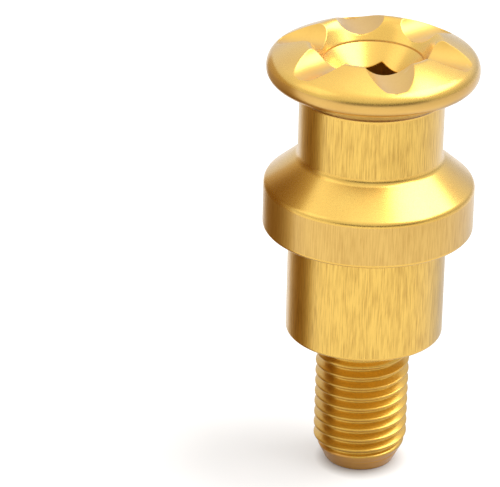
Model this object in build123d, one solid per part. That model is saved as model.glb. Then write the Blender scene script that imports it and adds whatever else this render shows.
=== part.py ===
from build123d import *
import os
from math import cos, radians, sqrt, tan

# Swingarm spool: a bobbin and its threaded stud, turned and milled from one bar of aluminium.
# A pair screws into the rear end of a motorcycle's swingarm, one on each side, and the hooks of a
# paddock stand lift the machine by the waists.
# Lengths are in millimetres. The origin is the centre of the stud's end face, and +Z runs up the
# axis to the head.

# Stud: an M12 x 1.5 thread, drawn as a plain shaft at its major diameter.
THREAD_DIAMETER = 12.0
STUD_LENGTH = 18.5
STUD_TIP_DIAMETER = 8.8
STUD_TIP_LENGTH = 3.2

# Spacer, between the swingarm's boss and the collar.
SPACER_DIAMETER = 20.0
SPACER_LENGTH = 14.6

# Collar: a straight band, then a cone that leads the hook into the waist.
COLLAR_DIAMETER = 26.6
COLLAR_BAND_LENGTH = 6.0
COLLAR_CONE_LENGTH = 3.6

# Waist, where the hook sits.
WAIST_DIAMETER = 18.2
WAIST_LENGTH = 8.45

# Head: a cone under it, a rim with well rounded edges and a top turned to a ball's radius.
HEAD_DIAMETER = 26.6
HEAD_UNDERSIDE_LENGTH = 2.45
RIM_LENGTH = 2.1
DOME_RADIUS = 25.0

# Recess in the head: a steep wall from the crest down to a small step, then a countersink.
CREST_DIAMETER = 16.0
STEP_DIAMETER = 12.44
RECESS_WALL_DEPTH = 2.7
STEP_DEPTH = 0.15
COUNTERSINK_ANGLE = 80.0
COUNTERSINK_END_DIAMETER = 7.2

# Socket for an 8 mm hexagon key, broached over a drilled hole.
KEY_SIZE = 8.0
SOCKET_DEPTH = 8.0
DRILL_POINT_ANGLE = 118.0

# Scallops: round-bottomed grooves milled outwards from the recess.
SCALLOP_COUNT = 6
SCALLOP_RADIUS = 3.5
SCALLOP_FLOOR_BELOW_CREST = 1.85
SCALLOP_FALL_ANGLE = 1.4
FIRST_SCALLOP_ANGLE = -78.0
SOCKET_CORNER_ANGLE = 75.0

# Chamfer on the lower edges of the spacer and the collar, and rounds on the other turned edges.
EDGE_CHAMFER = 0.3
COLLAR_EDGE_ROUND = 0.9
WAIST_FOOT_ROUND = 1.0
WAIST_TOP_ROUND = 0.6
RIM_LOWER_ROUND = 1.4
RIM_ROUND = 1.9
CREST_ROUND = 1.1

# Heights worked out from the lengths above.
SHOULDER_Z = STUD_LENGTH
COLLAR_Z = SHOULDER_Z + SPACER_LENGTH
CONE_Z = COLLAR_Z + COLLAR_BAND_LENGTH
WAIST_Z = CONE_Z + COLLAR_CONE_LENGTH
UNDERSIDE_Z = WAIST_Z + WAIST_LENGTH
RIM_Z = UNDERSIDE_Z + HEAD_UNDERSIDE_LENGTH
RIM_TOP_Z = RIM_Z + RIM_LENGTH
DOME_CENTRE_Z = RIM_TOP_Z - sqrt(DOME_RADIUS**2 - (HEAD_DIAMETER / 2) ** 2)
CREST_Z = DOME_CENTRE_Z + sqrt(DOME_RADIUS**2 - (CREST_DIAMETER / 2) ** 2)
STEP_Z = CREST_Z - RECESS_WALL_DEPTH
COUNTERSINK_Z = STEP_Z - STEP_DEPTH
COUNTERSINK_SLOPE = tan(radians(90.0 - COUNTERSINK_ANGLE / 2))
COUNTERSINK_END_Z = COUNTERSINK_Z - (STEP_DIAMETER - COUNTERSINK_END_DIAMETER) / 2 * COUNTERSINK_SLOPE
SOCKET_FLOOR_Z = COUNTERSINK_END_Z - SOCKET_DEPTH
SCALLOP_FLOOR_Z = CREST_Z - SCALLOP_FLOOR_BELOW_CREST


def half_section():
    """The turned outline from the axis at the stud's end round to the axis in the countersink."""
    stud, spacer, collar = THREAD_DIAMETER / 2, SPACER_DIAMETER / 2, COLLAR_DIAMETER / 2
    waist, head, crest = WAIST_DIAMETER / 2, HEAD_DIAMETER / 2, CREST_DIAMETER / 2
    corners = [
        ((0, 0), None),
        ((STUD_TIP_DIAMETER / 2, 0), 0),
        ((stud, STUD_TIP_LENGTH), 0),
        ((stud, SHOULDER_Z), 0),
        ((spacer - EDGE_CHAMFER, SHOULDER_Z), 0),
        ((spacer, SHOULDER_Z + EDGE_CHAMFER), 0),
        ((spacer, COLLAR_Z), 0),
        ((collar - EDGE_CHAMFER, COLLAR_Z), 0),
        ((collar, COLLAR_Z + EDGE_CHAMFER), 0),
        ((collar, CONE_Z), COLLAR_EDGE_ROUND),
        ((waist, WAIST_Z), WAIST_FOOT_ROUND),
        ((waist, UNDERSIDE_Z), WAIST_TOP_ROUND),
        ((head, RIM_Z), RIM_LOWER_ROUND),
        ((head, RIM_TOP_Z), None),
    ]
    recess = [
        (crest, CREST_Z),
        (STEP_DIAMETER / 2, STEP_Z),
        (STEP_DIAMETER / 2, COUNTERSINK_Z),
        (COUNTERSINK_END_DIAMETER / 2, COUNTERSINK_END_Z),
        (0, COUNTERSINK_END_Z),
        (0, 0),
    ]
    with BuildSketch(Plane.XZ) as section:
        with BuildLine():
            outside = FilletPolyline(
                *[point for point, _ in corners],
                radius=[size for _, size in corners if size is not None],
            )
            RadiusArc(outside @ 1, recess[0], -DOME_RADIUS)
            Polyline(*recess)
        make_face()
        fillet(nearest_corner(section, (head, RIM_TOP_Z)), RIM_ROUND)
        fillet(nearest_corner(section, recess[0]), CREST_ROUND)
    return section.sketch


def nearest_corner(section, point):
    """The section's corner closest to a point given as radius and height."""
    return section.vertices().sort_by_distance(Vector(*point))[0]


def turned_blank():
    """The bobbin and its stud as they leave the lathe."""
    return revolve(half_section(), Axis.Z)


def hexagon_socket():
    """A hexagon prism down from the countersink, over the point that the drill leaves."""
    point_depth = KEY_SIZE / 2 / tan(radians(DRILL_POINT_ANGLE / 2))
    hexagon = RegularPolygon(KEY_SIZE / 2, 6, major_radius=False)
    prism = extrude(Plane.XY.offset(SOCKET_FLOOR_Z) * hexagon, CREST_Z - SOCKET_FLOOR_Z)
    drill_point = Cone(0, KEY_SIZE / 2, point_depth, align=(Align.CENTER, Align.CENTER, Align.MAX))
    return Rot(0, 0, SOCKET_CORNER_ANGLE) * (prism + Pos(0, 0, SOCKET_FLOOR_Z) * drill_point)


def scallop_cutters():
    """Round cutters laid outwards over the head, evenly spaced about the axis."""
    reach = HEAD_DIAMETER / cos(radians(SCALLOP_FALL_ANGLE))
    lying = Rot(0, 90 + SCALLOP_FALL_ANGLE, 0)
    cutter = lying * Cylinder(SCALLOP_RADIUS, reach, align=(Align.CENTER, Align.CENTER, Align.MIN))
    start = Pos(0, 0, SCALLOP_FLOOR_Z + SCALLOP_RADIUS)
    step = 360 / SCALLOP_COUNT
    return [Rot(0, 0, FIRST_SCALLOP_ANGLE + step * i) * start * cutter for i in range(SCALLOP_COUNT)]


def spool():
    """The finished piece."""
    body = turned_blank() - hexagon_socket()
    for cutter in scallop_cutters():
        body -= cutter
    body.label = "spool"
    return body


os.makedirs("parts", exist_ok=True)
export_step(spool(), "parts/spool.step")
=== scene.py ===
from math import asin, ceil, cos, degrees, pi, radians, sin, sqrt, tan

import bpy
from mathutils import Matrix, Vector


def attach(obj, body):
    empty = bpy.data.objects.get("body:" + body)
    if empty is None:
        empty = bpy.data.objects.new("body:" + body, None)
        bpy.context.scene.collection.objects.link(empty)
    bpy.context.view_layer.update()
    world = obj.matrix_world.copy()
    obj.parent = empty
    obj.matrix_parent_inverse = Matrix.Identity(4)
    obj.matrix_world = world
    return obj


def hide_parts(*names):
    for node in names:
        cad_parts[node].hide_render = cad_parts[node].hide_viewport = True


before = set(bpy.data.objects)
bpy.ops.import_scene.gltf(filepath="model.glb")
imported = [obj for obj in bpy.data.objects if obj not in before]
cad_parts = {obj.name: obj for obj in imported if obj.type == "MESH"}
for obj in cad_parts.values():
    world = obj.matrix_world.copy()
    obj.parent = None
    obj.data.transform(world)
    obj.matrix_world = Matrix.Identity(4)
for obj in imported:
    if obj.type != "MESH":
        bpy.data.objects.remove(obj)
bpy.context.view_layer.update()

# Swingarm spool: turned and milled from one bar of aluminium, then anodised gold. Lengths are in
# millimetres and become metres where they are used. The origin is the centre of the stud's end
# face, and +Z runs up the axis to the head.
MM = 0.001

# Heights of the turned faces, from the stud's end up.
TIP_TOP_Z = 3.2
SHOULDER_Z = 18.5
COLLAR_Z = 33.1
CONE_Z = 39.1
WAIST_Z = 42.7
UNDERSIDE_Z = 51.15
RIM_Z = 53.6
RIM_TOP_Z = 55.7

# Radii of the turned faces.
TIP_RADIUS = 4.4
STUD_RADIUS = 6.0
SPACER_RADIUS = 10.0
COLLAR_RADIUS = 13.3
WAIST_RADIUS = 9.1
HEAD_RADIUS = 13.3

# Rounds on the turned edges.
TIP_ROUND = 0.2
CORNER_ROUND = 0.15
LOWER_EDGE_ROUND = 0.35
UNDER_RIM_ROUND = 1.4
CONE_EDGE_ROUND = 0.9
WAIST_ROUND = 1.0
UNDER_HEAD_ROUND = 0.6
RIM_ROUND = 1.9

# Head: a top turned to a ball's radius, and a recess with a steep wall and a small step. The wall
# and the top run into each other over the crest's blend.
DOME_RADIUS = 25.0
DOME_CENTRE_Z = RIM_TOP_Z - sqrt(DOME_RADIUS**2 - HEAD_RADIUS**2)
CREST_RADIUS = 8.0
CREST_Z = DOME_CENTRE_Z + sqrt(DOME_RADIUS**2 - CREST_RADIUS**2)
CREST_BLEND = 1.55
RECESS_WALL_DEPTH = 2.7
STEP_RADIUS = 6.22
STEP_DEPTH = 0.15
STEP_ROUND = 0.05
STEP_Z = CREST_Z - RECESS_WALL_DEPTH
STEP_FOOT_Z = STEP_Z - STEP_DEPTH

# Countersink under the step, and a hexagon socket for a key 8 mm across flats, broached over a
# drilled hole.
COUNTERSINK_ANGLE = 80.0
COUNTERSINK_SLOPE = 1 / tan(radians(COUNTERSINK_ANGLE / 2))
SOCKET_APOTHEM = 4.0
SOCKET_CORNER_ANGLE = 75.0
SOCKET_FLOOR_Z = 44.3
DRILL_RADIUS = 3.9
DRILL_POINT_DEPTH = 2.4
# The rounded lip between the countersink and the hexagon: distances out from the hexagon and down
# from the countersink, as shares of the lip.
SOCKET_LIP = 0.1
SOCKET_LIP_CURVE = ((2.0, 0.0), (1.0, 0.0), (0.3, 0.1), (0.0, 0.5), (0.0, 2.0))

# Scallops milled outwards from the recess.
SCALLOP_COUNT = 6
SCALLOP_RADIUS = 3.5
SCALLOP_FLOOR_BELOW_CREST = 1.85
SCALLOP_FLOOR_Z = CREST_Z - SCALLOP_FLOOR_BELOW_CREST
SCALLOP_FALL_ANGLE = 1.4
FIRST_SCALLOP_ANGLE = -78.0
SCALLOP_EDGE_BLEND = 0.07

# Thread: right-hand. Its flanks stand at 60 degrees to the axis, and so to each other. The last
# groove runs out on the shank.
PITCH = 1.5
THREAD_DEPTH = 0.92
CREST_FLAT = 0.19
FLANK_ANGLE = 60.0
FLANK_SLOPE = tan(radians(FLANK_ANGLE))
THREAD_CREST_BLEND = 0.10
THREAD_ROOT_BLEND = 0.20
THREAD_CREST_Z = 3.55
THREAD_CREST_ANGLE = -92.0
RUN_OUT_START_Z = 15.4
RUN_OUT_END_Z = 17.2
THREAD_TOP_Z = 17.9
THREAD_BOTTOM_Z = 0.9

# Where the finishes change. The underside's starts a little below the top of the waist. The rim's
# starts below the rim's lower corner and ends above it. Straight faces shorter than the least have
# the finish of the turned ones. The stud's end has its own up to a height on the thread.
UNDERSIDE_FINISH_DROP = 0.16
RIM_FINISH_DROP = 0.6
RIM_FINISH_RISE = 1.45
LEAST_STRAIGHT = 1.0
END_FINISH_Z = 2.3

# Mesh of the head: each sixth of it is one scallop and one land between two scallops.
SECTOR_ANGLE = 360.0 / SCALLOP_COUNT
LAND_COLUMNS = 32
SCALLOP_COLUMNS = 24
TURN_COLUMNS = SCALLOP_COUNT * LAND_COLUMNS
SCALLOP_ROWS = 56
WALL_ROWS = 5
# The columns next to a scallop's edge stand this close together where half the scallop takes up
# that angle in radians or more, and more evenly where it takes up less.
EDGE_GAP = 0.05
EDGE_GAP_HALF_ANGLE = 0.1

# Mesh of the rounds: the largest turn in degrees between two rows, the fewest steps, how many times
# finer the rim's own round is, and how far past each end of a round one more row stands, which
# keeps the straight face beside it looking flat.
ROUND_STEP_ANGLE = 11.0
LEAST_ROUND_STEPS = 3
RIM_ROUND_FINENESS = 2
SUPPORT_GAP = 0.08

# Mesh of the thread: distances below a crest where it has a line, over one pitch.
THREAD_LINES = (
    0.0, 0.07, 0.12, 0.18, 0.30, 0.46, 0.57, 0.63, 0.70,
    0.80, 0.87, 0.93, 1.04, 1.20, 1.32, 1.38, 1.43,
)
# Heights that agree to this many digits are one vertex.
HEIGHT_DIGITS = 5

# Lengths below this one count as none, so that no face is thinner.
LEAST_WIDTH = 0.001
# Halvings of an interval until its middle is exact enough.
HALVINGS = 40


def soft_lower(a, b, reach):
    """The lower of two heights, with the edge where they cross rounded over that reach."""
    overlap = max(reach - abs(a - b), 0.0) / reach
    return min(a, b) - overlap * overlap * reach / 4


def last_place(holds, start, end):
    """The last place from start towards end where a condition holds."""
    for _ in range(HALVINGS):
        middle = (start + end) / 2
        if holds(middle):
            start = middle
        else:
            end = middle
    return (start + end) / 2


def land_height(radius):
    """Height of the head's top between scallops: the recess wall, the crest and the dome."""
    slope = (CREST_Z - STEP_Z) / (CREST_RADIUS - STEP_RADIUS)
    wall = STEP_Z + slope * (radius - STEP_RADIUS)
    dome = DOME_CENTRE_Z + sqrt(DOME_RADIUS**2 - radius**2)
    return soft_lower(wall, dome, CREST_BLEND)


def scallop_height(radius, angle):
    """Height of a scallop's cutter at that angle, in radians, from the scallop's middle."""
    fall = radians(SCALLOP_FALL_ANGLE)
    along, across = radius * cos(angle), radius * sin(angle)
    under = sqrt(max(SCALLOP_RADIUS**2 - across**2, 0.0))
    return SCALLOP_FLOOR_Z + SCALLOP_RADIUS - (under + along * sin(fall)) / cos(fall)


def is_cut(radius):
    """Whether the middle of a scallop is below the land at that radius."""
    return scallop_height(radius, 0.0) < land_height(radius)


def scallop_half_angle(radius):
    """Half the angle, in radians, that a scallop takes up at that radius; zero where it is none."""
    if not is_cut(radius):
        return 0.0
    land = land_height(radius)
    widest = asin(min(1.0, SCALLOP_RADIUS / radius))
    half = last_place(lambda angle: scallop_height(radius, angle) < land, 0.0, widest)
    return half if half * radius > LEAST_WIDTH else 0.0


def spaced(start, end, count, gap):
    """count + 1 places from start to end, with that gap between the three nearest each end."""
    inner = (end - start - 4 * gap) / (count - 4)
    middle = [start + 2 * gap + inner * i for i in range(count - 3)]
    return [start, start + gap] + middle + [end - gap, end]


class Skin:
    """Vertices and faces of the spool, gathered row by row from the head down to the stud."""

    def __init__(self):
        self.points = []
        self.faces = []
        self.finishes = []

    def point(self, radius, angle, height):
        """A new vertex, at an angle in radians; returns its number."""
        self.points.append((radius * cos(angle) * MM, radius * sin(angle) * MM, height * MM))
        return len(self.points) - 1

    def face(self, corners, finish):
        """A face without the corners that fall together, or none if fewer than three are left."""
        kept = [corner for i, corner in enumerate(corners) if corner != corners[i - 1]]
        if len(set(kept)) > 2:
            self.faces.append(kept)
            self.finishes.append(finish)

    def join(self, first, second, finish):
        """The band of faces between two rows, of which the first is nearer the socket's bottom.

        finish is one name, or a list with a name for each column.
        """
        for i in range(len(first)):
            j = (i + 1) % len(first)
            kind = finish[i] if isinstance(finish, list) else finish
            self.face([first[j], first[i], second[i], second[j]], kind)


def column_angle(column):
    """Angle of a plain column in radians, counted from the first scallop's middle."""
    return radians(FIRST_SCALLOP_ANGLE + SECTOR_ANGLE * column / LAND_COLUMNS)


def spread(ring):
    """A plain ring's vertices laid out as a head row, where each scallop falls on one vertex."""
    row = []
    for sector in range(SCALLOP_COUNT):
        first = sector * LAND_COLUMNS
        row += [ring[first]] * SCALLOP_COLUMNS
        row += ring[first:first + LAND_COLUMNS]
    return row


def plain_row(skin, radius, height):
    """A row of vertices at one radius and height."""
    ring = [skin.point(radius, column_angle(column), height) for column in range(TURN_COLUMNS)]
    return spread(ring)


def head_row(skin, radius):
    """A row across the head's top at one radius, with each scallop's outline on the mesh."""
    half = scallop_half_angle(radius)
    if half == 0.0:
        return plain_row(skin, radius, land_height(radius))
    sector = radians(SECTOR_ANGLE)
    land_gap = (sector - 2 * half) / LAND_COLUMNS
    scallop_gap = 2 * half / SCALLOP_COLUMNS
    edge_gap = EDGE_GAP / radius
    share = min(1.0, half / EDGE_GAP_HALF_ANGLE)
    land_edge = land_gap + (min(edge_gap, land_gap) - land_gap) * share
    scallop_edge = scallop_gap + (min(edge_gap, scallop_gap) - scallop_gap) * share
    places = spaced(-half, half, SCALLOP_COLUMNS, scallop_edge)[:-1]
    places += spaced(half, sector - half, LAND_COLUMNS, land_edge)[:-1]
    row = []
    for i in range(SCALLOP_COUNT):
        middle = radians(FIRST_SCALLOP_ANGLE) + sector * i
        for place in places:
            nearest = place if place < sector / 2 else place - sector
            cut = scallop_height(radius, nearest)
            height = soft_lower(land_height(radius), cut, SCALLOP_EDGE_BLEND)
            row.append(skin.point(radius, middle + place, height))
    return row


def head_radii():
    """Radii of the head's rows from the rim's round in to the step."""
    outer = (HEAD_RADIUS - RIM_ROUND) * DOME_RADIUS / (DOME_RADIUS - RIM_ROUND)
    inner = STEP_RADIUS + STEP_ROUND
    middle = (outer + inner) / 2
    outer_end = last_place(is_cut, middle, outer)
    inner_end = last_place(is_cut, middle, inner)
    reach, centre = (outer_end - inner_end) / 2, (outer_end + inner_end) / 2
    outside = [outer] if outer - outer_end > LEAST_WIDTH else []
    scalloped = [centre + reach * cos(pi * i / SCALLOP_ROWS) for i in range(SCALLOP_ROWS + 1)]
    inside = [inner_end + (inner - inner_end) * i / WALL_ROWS for i in range(1, WALL_ROWS + 1)]
    return outside + scalloped + inside


def rounded(corners):
    """Points along an outline given as radius, height and round of each corner.

    Each inner corner becomes an arc with a point close to it on either side.
    """
    points = [corners[0][:2]]
    for before, corner, after in zip(corners, corners[1:], corners[2:]):
        here = Vector(corner[:2])
        into = (here - Vector(before[:2])).normalized()
        out = (Vector(after[:2]) - here).normalized()
        turn = into.angle(out)
        reach = corner[2] * tan(turn / 2)
        side = 1.0 if into.cross(out) > 0 else -1.0
        centre = here - into * reach + Vector((-into.y, into.x)) * corner[2] * side
        start = here - into * reach - centre
        steps = max(LEAST_ROUND_STEPS, ceil(degrees(turn) / ROUND_STEP_ANGLE))
        parts = [Matrix.Rotation(side * turn * i / steps, 2) for i in range(steps + 1)]
        arc = [centre + part @ start for part in parts]
        arc = [arc[0] - into * SUPPORT_GAP] + arc + [arc[-1] + out * SUPPORT_GAP]
        points += [tuple(point) for point in arc]
    return points + [corners[-1][:2]]


def rim_round():
    """Points on the round between the dome and the rim, after the first, which is on the dome."""
    middle_radius, reach = HEAD_RADIUS - RIM_ROUND, DOME_RADIUS - RIM_ROUND
    middle_z = DOME_CENTRE_Z + sqrt(reach**2 - middle_radius**2)
    start = asin(middle_radius / reach)
    steps = ceil(degrees(pi / 2 - start) / ROUND_STEP_ANGLE) * RIM_ROUND_FINENESS
    angles = [start + (pi / 2 - start) * i / steps for i in range(1, steps + 1)]
    return [(middle_radius + RIM_ROUND * sin(angle), middle_z + RIM_ROUND * cos(angle))
            for angle in angles]


def turned_outline():
    """The outline below the rim's round, down to the top of the thread."""
    start = rim_round()[-1]
    return rounded([
        (*start, 0.0),
        (HEAD_RADIUS, RIM_Z, UNDER_RIM_ROUND),
        (WAIST_RADIUS, UNDERSIDE_Z, UNDER_HEAD_ROUND),
        (WAIST_RADIUS, WAIST_Z, WAIST_ROUND),
        (COLLAR_RADIUS, CONE_Z, CONE_EDGE_ROUND),
        (COLLAR_RADIUS, COLLAR_Z, LOWER_EDGE_ROUND),
        (SPACER_RADIUS, COLLAR_Z, CORNER_ROUND),
        (SPACER_RADIUS, SHOULDER_Z, LOWER_EDGE_ROUND),
        (STUD_RADIUS, SHOULDER_Z, CORNER_ROUND),
        (STUD_RADIUS, THREAD_TOP_Z, 0.0),
    ])[1:]


def add_head(skin):
    """The head's top, from the rim's round in to the step of the recess."""
    finish = (["milled"] * SCALLOP_COLUMNS + ["turned"] * LAND_COLUMNS) * SCALLOP_COUNT
    rows = [head_row(skin, radius) for radius in head_radii()]
    for outer, inner in zip(rows, rows[1:]):
        skin.join(inner, outer, finish)
    return rows[0], rows[-1]


def socket_radius(angle, grow):
    """Radius of the hexagon socket, made larger all round by grow, at an angle in radians."""
    sixth = radians(60.0)
    from_flat = (angle - radians(SOCKET_CORNER_ANGLE)) % sixth - sixth / 2
    return (SOCKET_APOTHEM + grow) / cos(from_flat)


def countersink_height(radius):
    """Height of the countersink, or of its slope carried on, at that radius."""
    return STEP_FOOT_Z - (STEP_RADIUS - STEP_ROUND - radius) * COUNTERSINK_SLOPE


def add_socket(skin, step_row):
    """The small step, the countersink, the hexagon and the drill's point."""
    above = step_row
    for radius, height in (
        (STEP_RADIUS, STEP_Z - STEP_ROUND),
        (STEP_RADIUS, STEP_FOOT_Z + STEP_ROUND),
        (STEP_RADIUS - STEP_ROUND, STEP_FOOT_Z),
    ):
        below = plain_row(skin, radius, height)
        skin.join(below, above, "step")
        above = below
    # The hexagon's rings are turned a little, so that its corners fall on columns.
    offset = (SOCKET_CORNER_ANGLE - FIRST_SCALLOP_ANGLE) % (SECTOR_ANGLE / LAND_COLUMNS)
    angles = [column_angle(column) + radians(offset) for column in range(TURN_COLUMNS)]
    for grow, drop in SOCKET_LIP_CURVE:
        ring = []
        for angle in angles:
            radius = socket_radius(angle, grow * SOCKET_LIP)
            height = countersink_height(radius) - drop * SOCKET_LIP
            ring.append(skin.point(radius, angle, height))
        below = spread(ring)
        skin.join(below, above, "turned")
        above = below
    for height in (SOCKET_FLOOR_Z + SOCKET_LIP, SOCKET_FLOOR_Z):
        below = spread([skin.point(socket_radius(angle, 0.0), angle, height) for angle in angles])
        skin.join(below, above, "broached")
        above = below
    below = spread([skin.point(DRILL_RADIUS, angle, SOCKET_FLOOR_Z) for angle in angles])
    skin.join(below, above, "broached")
    point = skin.point(0.0, 0.0, SOCKET_FLOOR_Z - DRILL_POINT_DEPTH)
    skin.join([point] * len(below), below, "broached")


def body_finish(upper, lower):
    """Finish of the band between two places on the turned outline, given as radius and height."""
    if upper is None or upper[1] - lower[1] < LEAST_WIDTH:
        return "turned"
    if UNDERSIDE_Z - UNDERSIDE_FINISH_DROP < lower[1] < RIM_Z - RIM_FINISH_DROP:
        return "underside"
    if RIM_Z - RIM_FINISH_DROP < lower[1] < RIM_Z + RIM_FINISH_RISE:
        return "rim"
    if abs(upper[0] - lower[0]) > LEAST_WIDTH or upper[1] - lower[1] < LEAST_STRAIGHT:
        return "turned"
    return "band" if COLLAR_Z < upper[1] < WAIST_Z else "drawn"


def add_body(skin, outer_row):
    """The rim, the waist, the collar and the spacer, down to the top of the thread."""
    above, place = outer_row, None
    for radius, height in rim_round() + turned_outline():
        below = plain_row(skin, radius, height)
        skin.join(above, below, body_finish(place, (radius, height)))
        above, place = below, (radius, height)
    return above


def thread_radius(angle, height):
    """Radius of the stud at an angle in radians: its chamfered blank, cut by the thread."""
    chamfer = TIP_RADIUS + (STUD_RADIUS - TIP_RADIUS) * height / TIP_TOP_Z
    blank = soft_lower(STUD_RADIUS, chamfer, THREAD_CREST_BLEND)
    crest = THREAD_CREST_Z + PITCH * (degrees(angle) - THREAD_CREST_ANGLE) / 360.0
    above = (height - crest) % PITCH
    from_crest = min(above, PITCH - above)
    groove_z = height - above + PITCH / 2
    fade = (RUN_OUT_END_Z - groove_z) / (RUN_OUT_END_Z - RUN_OUT_START_Z)
    fade = min(1.0, max(0.0, fade))
    cut = (from_crest - CREST_FLAT / 2) * FLANK_SLOPE
    depth = soft_lower(cut, THREAD_DEPTH, THREAD_ROOT_BLEND)
    return soft_lower(blank, STUD_RADIUS - depth * fade, THREAD_CREST_BLEND)


def thread_line(column, turns, drop):
    """Height at a column of the line that far below a crest, some turns up from the first."""
    climb = (degrees(column_angle(column)) - THREAD_CREST_ANGLE) / 360.0 + turns
    return THREAD_CREST_Z + PITCH * climb - drop


def add_stud(skin, top_row):
    """The threaded stud: a mesh that follows the thread's helix between two flat rings."""
    # The top row's vertices once each, without the repeats that spread them out.
    firsts = [i for i, number in enumerate(top_row) if number != top_row[i - 1]]
    made = {(column, THREAD_TOP_Z): top_row[i] for column, i in enumerate(firsts)}

    def vertex(column, height):
        """The vertex at a column and a height, which is kept between the two rings."""
        height = min(THREAD_TOP_Z, max(THREAD_BOTTOM_Z, height))
        key = (column % TURN_COLUMNS, round(height, HEIGHT_DIGITS))
        if key not in made:
            angle = column_angle(key[0])
            made[key] = skin.point(thread_radius(angle, height), angle, height)
        return made[key]

    # Enough turns for the lines to start above the stud and end below it at every column.
    highest = ceil((THREAD_TOP_Z - thread_line(0, 0, 0.0)) / PITCH)
    lowest = -ceil((thread_line(TURN_COLUMNS, 0, 0.0) - THREAD_BOTTOM_Z) / PITCH)
    lines = [(turns, drop) for turns in range(highest, lowest - 1, -1) for drop in THREAD_LINES]
    for line, next_line in zip(lines, lines[1:]):
        for column in range(TURN_COLUMNS):
            upper = [vertex(c, thread_line(c, *line)) for c in (column + 1, column)]
            lower = [vertex(c, thread_line(c, *next_line)) for c in (column, column + 1)]
            at_end = thread_line(column, *next_line) < END_FINISH_Z
            skin.face(upper + lower, "end" if at_end else "threaded")
    above = spread([vertex(column, THREAD_BOTTOM_Z) for column in range(TURN_COLUMNS)])
    cone_slope = (STUD_RADIUS - TIP_RADIUS) / TIP_TOP_Z
    tip = rounded([
        (TIP_RADIUS + cone_slope * THREAD_BOTTOM_Z, THREAD_BOTTOM_Z, 0.0),
        (TIP_RADIUS, 0.0, TIP_ROUND),
        (0.0, 0.0, 0.0),
    ])[1:-1]
    for radius, height in tip:
        below = plain_row(skin, radius, height)
        skin.join(above, below, "end")
        above = below
    skin.join(above, [skin.point(0.0, 0.0, 0.0)] * len(above), "end")


def hex_colour(code):
    """Linear red, green, blue and alpha of an sRGB hex colour."""
    shares = [int(code[i:i + 2], 16) / 255 for i in (1, 3, 5)]
    return [s / 12.92 if s <= 0.04045 else ((s + 0.055) / 1.055) ** 2.4 for s in shares] + [1.0]


def metres(lengths):
    """Lengths in millimetres, as metres."""
    return [length * MM for length in lengths]


def new_material(name):
    """An empty node material and its tree."""
    material = bpy.data.materials.new(name)
    material.use_nodes = True
    material.node_tree.nodes.clear()
    return material, material.node_tree


def add_node(tree, kind, settings=None, **inputs):
    """Adds a node, sets its properties, and sets or links its inputs.

    An input goes by its name, with _ for a space, or by its number, as in _0.
    """
    node = tree.nodes.new(kind)
    for name, value in (settings or {}).items():
        setattr(node, name, value)
    for name, value in inputs.items():
        socket = node.inputs[int(name[1:]) if name[1:].isdigit() else name.replace("_", " ")]
        if isinstance(value, bpy.types.NodeSocket):
            tree.links.new(value, socket)
        else:
            socket.default_value = value
    return node


# Gold anodised aluminium: dyed metal that reflects gold, under a hard clear film that reflects
# white and pales every face seen at a low angle. The dye varies from a lighter to a deeper gold.
GOLD = "#F0C554"
DEEP_GOLD = "#E4B242"
FILM_IOR = 1.6
FILM_ROUGHNESS = 0.25
# The slow change of the dye across a face, and the finer change along the grain.
MOTTLE_WIDTH = 6.0
MOTTLE_DETAIL = 2.0
GRAIN_DETAIL = 3.0
GRAIN_ROUGHNESS = 0.6
# How much rougher or smoother the grain makes a face.
GLOSS_SPREAD = 0.05
# Pale sharp edges, partly rubbed by handling and partly a painted highlight: how sharp an edge has
# to be, and how much of it is made pale.
WORN_AND_HIGHLIGHT_GOLD = "#F6DFA6"
WORN_AND_HIGHLIGHT_EDGE_REACH = (0.52, 0.62)
WORN_AND_HIGHLIGHT_SHARE = 0.4


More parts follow.
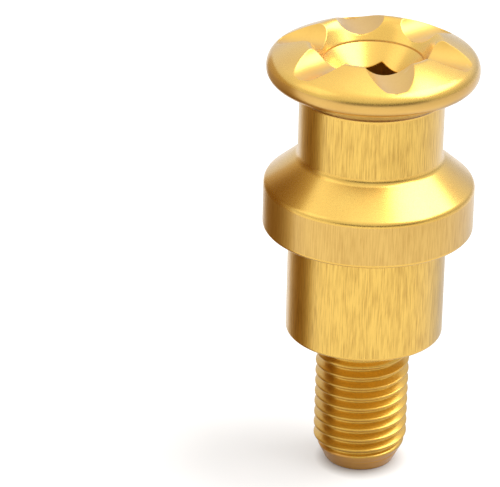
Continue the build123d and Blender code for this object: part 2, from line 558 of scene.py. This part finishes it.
def anodised(name, roughness, grain, depth, streaks=0.25, reach=(0.3, 0.7), light=GOLD,
             deep=DEEP_GOLD, worn_and_highlight=WORN_AND_HIGHLIGHT_SHARE, rings=False):
    """Gold anodised aluminium with a grain along the axis, or in rings round it.

    grain is the width and length of its marks, and depth how deep they are cut; they are finer on
    the real one, and are drawn as coarse as they need to show. streaks is their share, beside the
    mottle's, in the level that turns the dye from light to deep over its reach. For some finishes
    light and deep are darkened with painted shade. worn_and_highlight is how much of an edge is
    made pale, partly as rubbing and partly as a painted highlight; it shows most where the dye is
    deep.
    """
    material, tree = new_material(name)
    place = add_node(tree, "ShaderNodeTexCoord").outputs["Object"]
    marks = place
    if rings:
        flat = add_node(tree, "ShaderNodeVectorMath", {"operation": "MULTIPLY"}, _0=place,
                        _1=(1, 1, 0)).outputs["Vector"]
        from_axis = add_node(tree, "ShaderNodeVectorMath", {"operation": "LENGTH"},
                             _0=flat).outputs["Value"]
        height = add_node(tree, "ShaderNodeSeparateXYZ", _0=place).outputs["Z"]
        marks = add_node(tree, "ShaderNodeCombineXYZ", X=from_axis, Z=height).outputs[0]
    width, length = metres(grain)
    marks = add_node(tree, "ShaderNodeVectorMath", {"operation": "MULTIPLY"}, _0=marks,
                     _1=(1 / width, 1 / width, 1 / length)).outputs["Vector"]
    streak = add_node(tree, "ShaderNodeTexNoise", Vector=marks, Scale=1.0, Detail=GRAIN_DETAIL,
                      Roughness=GRAIN_ROUGHNESS).outputs["Fac"]
    mottle = add_node(tree, "ShaderNodeTexNoise", Vector=place, Scale=1 / (MOTTLE_WIDTH * MM),
                      Detail=MOTTLE_DETAIL).outputs["Fac"]
    both = add_node(tree, "ShaderNodeMix", _0=streaks, _2=mottle, _3=streak).outputs[0]
    dye = add_node(tree, "ShaderNodeMapRange", Value=both, From_Min=reach[0],
                   From_Max=reach[1]).outputs[0]
    dyed = add_node(tree, "ShaderNodeMix", {"data_type": "RGBA"}, _0=dye, _6=hex_colour(light),
                    _7=hex_colour(deep)).outputs[2]
    # Pale sharp edges: partly rubbed by handling, partly a painted highlight.
    sharpness = add_node(tree, "ShaderNodeNewGeometry").outputs["Pointiness"]
    edges = add_node(tree, "ShaderNodeMapRange", Value=sharpness, From_Min=WORN_AND_HIGHLIGHT_EDGE_REACH[0],
                     From_Max=WORN_AND_HIGHLIGHT_EDGE_REACH[1], To_Max=worn_and_highlight).outputs[0]
    rubbed_and_highlight = add_node(tree, "ShaderNodeMath", {"operation": "MULTIPLY"}, _0=edges,
                      _1=dye).outputs[0]
    colour = add_node(tree, "ShaderNodeMix", {"data_type": "RGBA"}, _0=rubbed_and_highlight, _6=dyed,
                      _7=hex_colour(WORN_AND_HIGHLIGHT_GOLD)).outputs[2]
    gloss = add_node(tree, "ShaderNodeMapRange", Value=streak, To_Min=roughness - GLOSS_SPREAD,
                     To_Max=roughness + GLOSS_SPREAD).outputs[0]
    bump = add_node(tree, "ShaderNodeBump", Height=streak, Distance=depth * MM).outputs[0]
    metal = add_node(tree, "ShaderNodeBsdfPrincipled", Metallic=1.0, Base_Color=colour,
                     Roughness=gloss, Normal=bump, Coat_Weight=1.0, Coat_IOR=FILM_IOR,
                     Coat_Roughness=FILM_ROUGHNESS)
    add_node(tree, "ShaderNodeOutputMaterial", Surface=metal.outputs[0])
    return material


# The finish of each kind of face.
FINISHES = {
    # Faces turned to a fine feed: satin, with a fine speckle.
    "turned": dict(roughness=0.27, grain=(0.22, 0.22), depth=0.0008, streaks=0.4),
    # Straight faces with a grain drawn along the axis: short streaks of lighter and darker gold.
    "drawn": dict(roughness=0.32, grain=(0.17, 3.2), depth=0.008, streaks=0.8,
                  reach=(0.42, 0.70), light="#F1C656", deep="#C09228"),
    # The collar's band: drawn the same way, but a little duller and paler.
    "band": dict(roughness=0.36, grain=(0.17, 3.2), depth=0.006, streaks=0.75,
                 reach=(0.42, 0.72), light="#E4BA5B", deep="#C99B3C"),
    # Under the head: dull, and darker with painted shade.
    "underside": dict(roughness=0.45, grain=(0.3, 0.3), depth=0.002,
                      light="#9C6C28", deep="#8A5C1A"),
    # The rim's straight part: turned, and a little paler than the dome.
    "rim": dict(roughness=0.30, grain=(0.22, 0.22), depth=0.0008,
                light="#E4B858", deep="#D9A748"),
    # The small step in the recess: dull, with painted shade in its crease as a darker line.
    "step": dict(roughness=0.40, grain=(0.3, 0.3), depth=0.002,
                 light="#D2A142", deep="#C29134", worn_and_highlight=0.0),
    # Scallops cut with a ball-nosed cutter: duller than the turned faces.
    "milled": dict(roughness=0.40, grain=(0.3, 0.3), depth=0.002,
                   light="#E8BC51", deep="#DDAB42"),
    # Threads cut with a die: a little rough, with torn specks; their deeper, browner gold is
    # painted shade from the grooves.
    "threaded": dict(roughness=0.32, grain=(0.25, 0.25), depth=0.005, streaks=0.6,
                     light="#E4B436", deep="#C89A2A", worn_and_highlight=0.2),
    # The cone at the stud's end: turned in rings and dull; its brown is painted shade from the
    # ground just under it.
    "end": dict(roughness=0.38, grain=(0.25, 0.25), depth=0.002,
                light="#E0A63C", deep="#CE9430", worn_and_highlight=0.0, rings=True),
    # Inside the hexagon: broached, and dark brown.
    "broached": dict(roughness=0.5, grain=(0.3, 3.0), depth=0.004,
                     light="#B07A22", deep="#845414", worn_and_highlight=0.0),
}


def add_piece(name, points, faces, materials):
    """A mesh with its materials, in the scene; points are in metres."""
    mesh = bpy.data.meshes.new(name)
    mesh.from_pydata(points, [], faces)
    for material in materials:
        mesh.materials.append(material)
    piece = bpy.data.objects.new(name, mesh)
    bpy.context.collection.objects.link(piece)
    return piece


def make_spool():
    """The whole spool as one closed mesh."""
    skin = Skin()
    outer_row, step_row = add_head(skin)
    add_socket(skin, step_row)
    add_stud(skin, add_body(skin, outer_row))
    names = list(FINISHES)
    materials = [anodised(name + "_anodised_aluminium", **FINISHES[name]) for name in names]
    piece = add_piece("spool_skin", skin.points, skin.faces, materials)
    slots = [names.index(finish) for finish in skin.finishes]
    piece.data.polygons.foreach_set("material_index", slots)
    piece.data.polygons.foreach_set("use_smooth", [True] * len(skin.faces))
    piece.data.validate()
    piece.data.update()
    return piece


spool = make_spool()
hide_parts("spool")
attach(spool, "root")


# White card that the spool stands on. It is lifted to white where it is seen, by some light of its
# own, and less so where the metal sees it.
CARD_RADIUS = 550.0
CARD_SIDES = 96
CARD_WHITE = "#BEBCBA"
CARD_ROUGHNESS = 0.9
CARD_LIFT_SEEN = 0.48
CARD_LIFT_REFLECTED = 0.34
# Shades that are seen: a dark one under the stud's end, and a wide faint one to its left. They are
# given by a middle, and the distances from it at which they start to fade and are gone.
CARD_CONTACT_MIDDLE = (0.0, -0.9, 0.0)
CARD_CONTACT_REACH = (3.3, 7.0)
CARD_LIFT_CONTACT = 0.0
CARD_LEFT_MIDDLE = (-12.0, -3.0, 0.0)
CARD_LEFT_REACH = (5.0, 18.0)
CARD_LIFT_LEFT = 0.37
# Shades that only the metal sees: one round the stud, and the card's fall in brightness towards
# the back and towards the right, over a distance and down to a share.
CARD_STUD_REACH = (8.0, 50.0)
CARD_BACK_REACH = (0.0, 90.0)
CARD_BACK_SHARE = 0.4
CARD_RIGHT_REACH = (30.0, 150.0)
CARD_RIGHT_SHARE = 0.1
# Painted shade that only the metal sees: a grey patch to the right, which darkens the spacer's
# right side.
CARD_GREY = "#858381"
CARD_GREY_MIDDLE = (42.0, 35.0, 0.0)
CARD_GREY_REACH = (5.0, 45.0)


def shade(tree, place, middle, reach, inside, outside):
    """A round shade on the card: a number that goes smoothly from its inside to its outside."""
    distance = add_node(tree, "ShaderNodeVectorMath", {"operation": "DISTANCE"}, _0=place,
                        _1=metres(middle)).outputs["Value"]
    start, end = metres(reach)
    level = add_node(tree, "ShaderNodeMapRange", {"interpolation_type": "SMOOTHSTEP"},
                     Value=distance, From_Min=start, From_Max=end, To_Min=inside, To_Max=outside)
    return level.outputs[0]


def card_material():
    """Matt white card, which gives an even white ground, with its shades."""
    material, tree = new_material("matt_white_card")
    rays = add_node(tree, "ShaderNodeLightPath").outputs
    place = add_node(tree, "ShaderNodeTexCoord").outputs["Object"]
    across, depth = add_node(tree, "ShaderNodeSeparateXYZ", _0=place).outputs[:2]
    contact = shade(tree, place, CARD_CONTACT_MIDDLE, CARD_CONTACT_REACH,
                    CARD_LIFT_CONTACT, CARD_LIFT_SEEN)
    left = shade(tree, place, CARD_LEFT_MIDDLE, CARD_LEFT_REACH, CARD_LIFT_LEFT, CARD_LIFT_SEEN)
    seen = add_node(tree, "ShaderNodeMath", {"operation": "MINIMUM"}, _0=contact, _1=left)
    round_stud = shade(tree, place, (0.0, 0.0, 0.0), CARD_STUD_REACH, 0.0, CARD_LIFT_REFLECTED)
    start, end = metres(CARD_BACK_REACH)
    to_back = add_node(tree, "ShaderNodeMapRange", Value=depth, From_Min=start, From_Max=end,
                       To_Min=1.0, To_Max=CARD_BACK_SHARE).outputs[0]
    start, end = metres(CARD_RIGHT_REACH)
    to_right = add_node(tree, "ShaderNodeMapRange", Value=across, From_Min=start, From_Max=end,
                        To_Min=1.0, To_Max=CARD_RIGHT_SHARE).outputs[0]
    reflected = rays["Is Glossy Ray"]
    for share in (round_stud, to_back, to_right):
        reflected = add_node(tree, "ShaderNodeMath", {"operation": "MULTIPLY"}, _0=reflected,
                             _1=share).outputs[0]
    lift = add_node(tree, "ShaderNodeMath", {"operation": "MULTIPLY_ADD"},
                    _0=rays["Is Camera Ray"], _1=seen.outputs[0], _2=reflected).outputs[0]
    # Painted shade seen only in the metal: the card turns grey in a patch to the right.
    patch = shade(tree, place, CARD_GREY_MIDDLE, CARD_GREY_REACH, 1.0, 0.0)
    grey = add_node(tree, "ShaderNodeMath", {"operation": "MULTIPLY"},
                    _0=rays["Is Glossy Ray"], _1=patch).outputs[0]
    colour = add_node(tree, "ShaderNodeMix", {"data_type": "RGBA"}, _0=grey,
                      _6=hex_colour(CARD_WHITE), _7=hex_colour(CARD_GREY)).outputs[2]
    paper = add_node(tree, "ShaderNodeBsdfPrincipled", Base_Color=colour,
                     Roughness=CARD_ROUGHNESS, Emission_Color=(1, 1, 1, 1),
                     Emission_Strength=lift)
    add_node(tree, "ShaderNodeOutputMaterial", Surface=paper.outputs[0])
    return material


def make_card():
    """A round white card; past its edge the room begins."""
    angles = [2 * pi * i / CARD_SIDES for i in range(CARD_SIDES)]
    edge = [metres((CARD_RADIUS * cos(angle), CARD_RADIUS * sin(angle), 0.0)) for angle in angles]
    return add_piece("white_card", edge, [range(CARD_SIDES)], [card_material()])


# A brown rod that stands close by on the left, out of sight, and darkens that side of the spool as
# a painted reflection. It glows with its own colour, painted lighter towards its edges, as the
# spool sees it, and towards its top.
ROD_MIDDLE = (-33.0, 6.0)
ROD_RADIUS = 15.5
ROD_HEIGHT = 58.0
ROD_SIDES = 48
ROD_BROWN = "#7C5620"
ROD_PAINTED_LIGHT = "#C9B188"
ROD_PAINTED_SHADE_LINE_Y = -1.0
ROD_EDGE_REACH = (1.5, 9.5)
ROD_TOP_REACH = (42.0, 60.0)


def rod_material():
    """Brown that glows by itself, painted lighter at its edges and top, which gives the metal a
    soft brown reflection and no highlight.
    """
    material, tree = new_material("glowing_brown")
    place = add_node(tree, "ShaderNodeTexCoord").outputs["Object"]
    _, y, z = add_node(tree, "ShaderNodeSeparateXYZ", _0=place).outputs
    start, end = metres(ROD_TOP_REACH)
    to_top = add_node(tree, "ShaderNodeMapRange", {"interpolation_type": "SMOOTHSTEP"},
                      Value=z, From_Min=start, From_Max=end).outputs[0]
    beside_line = add_node(tree, "ShaderNodeMath", {"operation": "SUBTRACT"}, _0=y,
                           _1=ROD_PAINTED_SHADE_LINE_Y * MM).outputs[0]
    from_line = add_node(tree, "ShaderNodeMath", {"operation": "ABSOLUTE"},
                         _0=beside_line).outputs[0]
    start, end = metres(ROD_EDGE_REACH)
    to_edge = add_node(tree, "ShaderNodeMapRange", {"interpolation_type": "SMOOTHSTEP"},
                       Value=from_line, From_Min=start, From_Max=end).outputs[0]
    # Painted light and shade on the rod: dark along a line facing the spool, lighter towards its
    # edges and top.
    painted_lightness = add_node(tree, "ShaderNodeMath", {"operation": "MAXIMUM"}, _0=to_top,
                         _1=to_edge).outputs[0]
    colour = add_node(tree, "ShaderNodeMix", {"data_type": "RGBA"}, _0=painted_lightness,
                      _6=hex_colour(ROD_BROWN), _7=hex_colour(ROD_PAINTED_LIGHT)).outputs[2]
    evenly_lit = add_node(tree, "ShaderNodeEmission", Color=colour, Strength=1.0)
    add_node(tree, "ShaderNodeOutputMaterial", Surface=evenly_lit.outputs[0])
    return material


def make_rod():
    """The rod as an open tube with a lid, seen only as a reflection."""
    angles = [2 * pi * i / ROD_SIDES for i in range(ROD_SIDES)]
    ring = [(ROD_MIDDLE[0] + ROD_RADIUS * cos(angle), ROD_MIDDLE[1] + ROD_RADIUS * sin(angle))
            for angle in angles]
    points = [metres((x, y, z)) for z in (0.0, ROD_HEIGHT) for x, y in ring]
    nexts = [(i, (i + 1) % ROD_SIDES) for i in range(ROD_SIDES)]
    walls = [(i, j, ROD_SIDES + j, ROD_SIDES + i) for i, j in nexts]
    lid = range(ROD_SIDES, 2 * ROD_SIDES)
    rod = add_piece("brown_rod", points, walls + [lid], [rod_material()])
    rod.visible_camera = False
    rod.visible_shadow = False
    rod.visible_diffuse = False
    return rod


# Brightness of the room by direction. It rises with the height of a direction of length 1, from
# the horizon, which is brighter on the left, past a middle height to overhead. Low down behind the
# camera it is dim, and overhead to the right it glows; each has a way, and a reach in how nearly a
# direction points that way, where 1 is straight along it.
ROOM_HORIZON_LEFT = 0.86
ROOM_HORIZON_RIGHT = 0.58
ROOM_MIDDLE = 0.88
ROOM_OVERHEAD = 1.22
ROOM_RISE = (0.06, 0.38)
ROOM_UPPER_RISE = (0.45, 1.0)
ROOM_DIM = 0.05
ROOM_DIM_WAY = (0.17, -0.985, 0.0)
ROOM_DIM_REACH = (0.55, 0.85)
ROOM_GLOW = 0.42
ROOM_GLOW_WAY = (0.36, -0.03, 0.932)
ROOM_GLOW_REACH = (0.76, 0.98)


def make_room():
    """The room as the metal sees it: bright overhead and at the sides, dim behind the camera."""
    world = bpy.data.worlds.new("studio")
    world.use_nodes = True
    bpy.context.scene.world = world
    tree = world.node_tree
    tree.nodes.clear()
    way = add_node(tree, "ShaderNodeTexCoord").outputs["Generated"]
    across, _, height = add_node(tree, "ShaderNodeSeparateXYZ", _0=way).outputs
    flat = add_node(tree, "ShaderNodeVectorMath", {"operation": "MULTIPLY"}, _0=way,
                    _1=(1, 1, 0)).outputs["Vector"]
    flat_way = add_node(tree, "ShaderNodeVectorMath", {"operation": "NORMALIZE"},
                        _0=flat).outputs["Vector"]
    to_camera = add_node(tree, "ShaderNodeVectorMath", {"operation": "DOT_PRODUCT"},
                         _0=flat_way, _1=ROOM_DIM_WAY).outputs["Value"]
    horizon = add_node(tree, "ShaderNodeMapRange", Value=across, From_Min=-1.0, From_Max=1.0,
                       To_Min=ROOM_HORIZON_LEFT, To_Max=ROOM_HORIZON_RIGHT).outputs[0]
    low = add_node(tree, "ShaderNodeMapRange", {"interpolation_type": "SMOOTHSTEP"},
                   Value=to_camera, From_Min=ROOM_DIM_REACH[0], From_Max=ROOM_DIM_REACH[1],
                   To_Min=horizon, To_Max=ROOM_DIM).outputs[0]
    high = add_node(tree, "ShaderNodeMapRange", Value=height, From_Min=ROOM_UPPER_RISE[0],
                    From_Max=ROOM_UPPER_RISE[1], To_Min=ROOM_MIDDLE,
                    To_Max=ROOM_OVERHEAD).outputs[0]
    to_glow = add_node(tree, "ShaderNodeVectorMath", {"operation": "DOT_PRODUCT"}, _0=way,
                       _1=ROOM_GLOW_WAY).outputs["Value"]
    glow = add_node(tree, "ShaderNodeMapRange", {"interpolation_type": "SMOOTHSTEP"},
                    Value=to_glow, From_Min=ROOM_GLOW_REACH[0], From_Max=ROOM_GLOW_REACH[1],
                    To_Max=ROOM_GLOW).outputs[0]
    lit = add_node(tree, "ShaderNodeMath", {"operation": "ADD"}, _0=high, _1=glow).outputs[0]
    rise = add_node(tree, "ShaderNodeMapRange", {"interpolation_type": "SMOOTHSTEP"},
                    Value=height, From_Min=ROOM_RISE[0], From_Max=ROOM_RISE[1]).outputs[0]
    level = add_node(tree, "ShaderNodeMix", _0=rise, _2=low, _3=lit).outputs[0]
    room = add_node(tree, "ShaderNodeBackground", Color=(1, 1, 1, 1), Strength=level)
    white = add_node(tree, "ShaderNodeBackground", Color=(1, 1, 1, 1), Strength=1.0)
    seen = add_node(tree, "ShaderNodeLightPath").outputs["Is Camera Ray"]
    shown = add_node(tree, "ShaderNodeMixShader", _0=seen, _1=room.outputs[0], _2=white.outputs[0])
    add_node(tree, "ShaderNodeOutputWorld", Surface=shown.outputs[0])


# Soft boxes, with the middle, width and height of each, and its power in watts.
LAMPS = {
    "right_soft_box": dict(middle=(570.0, -20.0, 800.0), width=900.0, height=620.0, power=6.2),
    "left_soft_box": dict(middle=(-760.0, -200.0, 650.0), width=600.0, height=600.0, power=0.55),
}
LAMP_AIM = (0.0, 0.0, 30.0)


def add_lamp(name, middle, width, height, power):
    """A soft box aimed at the spool's middle, seen by the metal but not by the camera."""
    light = bpy.data.lights.new(name, "AREA")
    light.shape = "RECTANGLE"
    light.size, light.size_y = metres((width, height))
    light.energy = power
    lamp = bpy.data.objects.new(name, light)
    bpy.context.collection.objects.link(lamp)
    lamp.location = metres(middle)
    aim = Vector(LAMP_AIM) - Vector(middle)
    lamp.rotation_euler = aim.to_track_quat("-Z", "Y").to_euler()
    lamp.visible_camera = False


# Camera, where the photograph was taken from: a long lens about 25 degrees above the table.
CAMERA_PLACE = (-14.778, -424.443, 232.452)
CAMERA_FALL_ANGLE = 25.51
CAMERA_ROLL_ANGLE = 1.311
CAMERA_LENS = 267.25
CAMERA_SENSOR = 36.0
CAMERA_NEAREST = 10.0
CAMERA_FARTHEST = 20000.0


def make_camera():
    """The photograph's own viewpoint."""
    camera = bpy.data.objects.new("camera", bpy.data.cameras.new("camera"))
    bpy.context.collection.objects.link(camera)
    camera.data.lens = CAMERA_LENS
    camera.data.sensor_width = CAMERA_SENSOR
    camera.data.clip_start, camera.data.clip_end = metres((CAMERA_NEAREST, CAMERA_FARTHEST))
    fall, roll = radians(CAMERA_FALL_ANGLE), radians(CAMERA_ROLL_ANGLE)
    right, up = Vector((1, 0, 0)), Vector((0, sin(fall), cos(fall)))
    across = right * cos(roll) + up * sin(roll)
    rise = up * cos(roll) - right * sin(roll)
    turn = Matrix((across, rise, across.cross(rise))).transposed().to_4x4()
    camera.matrix_world = Matrix.Translation(Vector(CAMERA_PLACE) * MM) @ turn
    bpy.context.scene.camera = camera


make_card()
make_rod()
make_room()
for name, lamp in LAMPS.items():
    add_lamp(name, **lamp)
make_camera()
bpy.context.scene.view_settings.view_transform = "Standard"
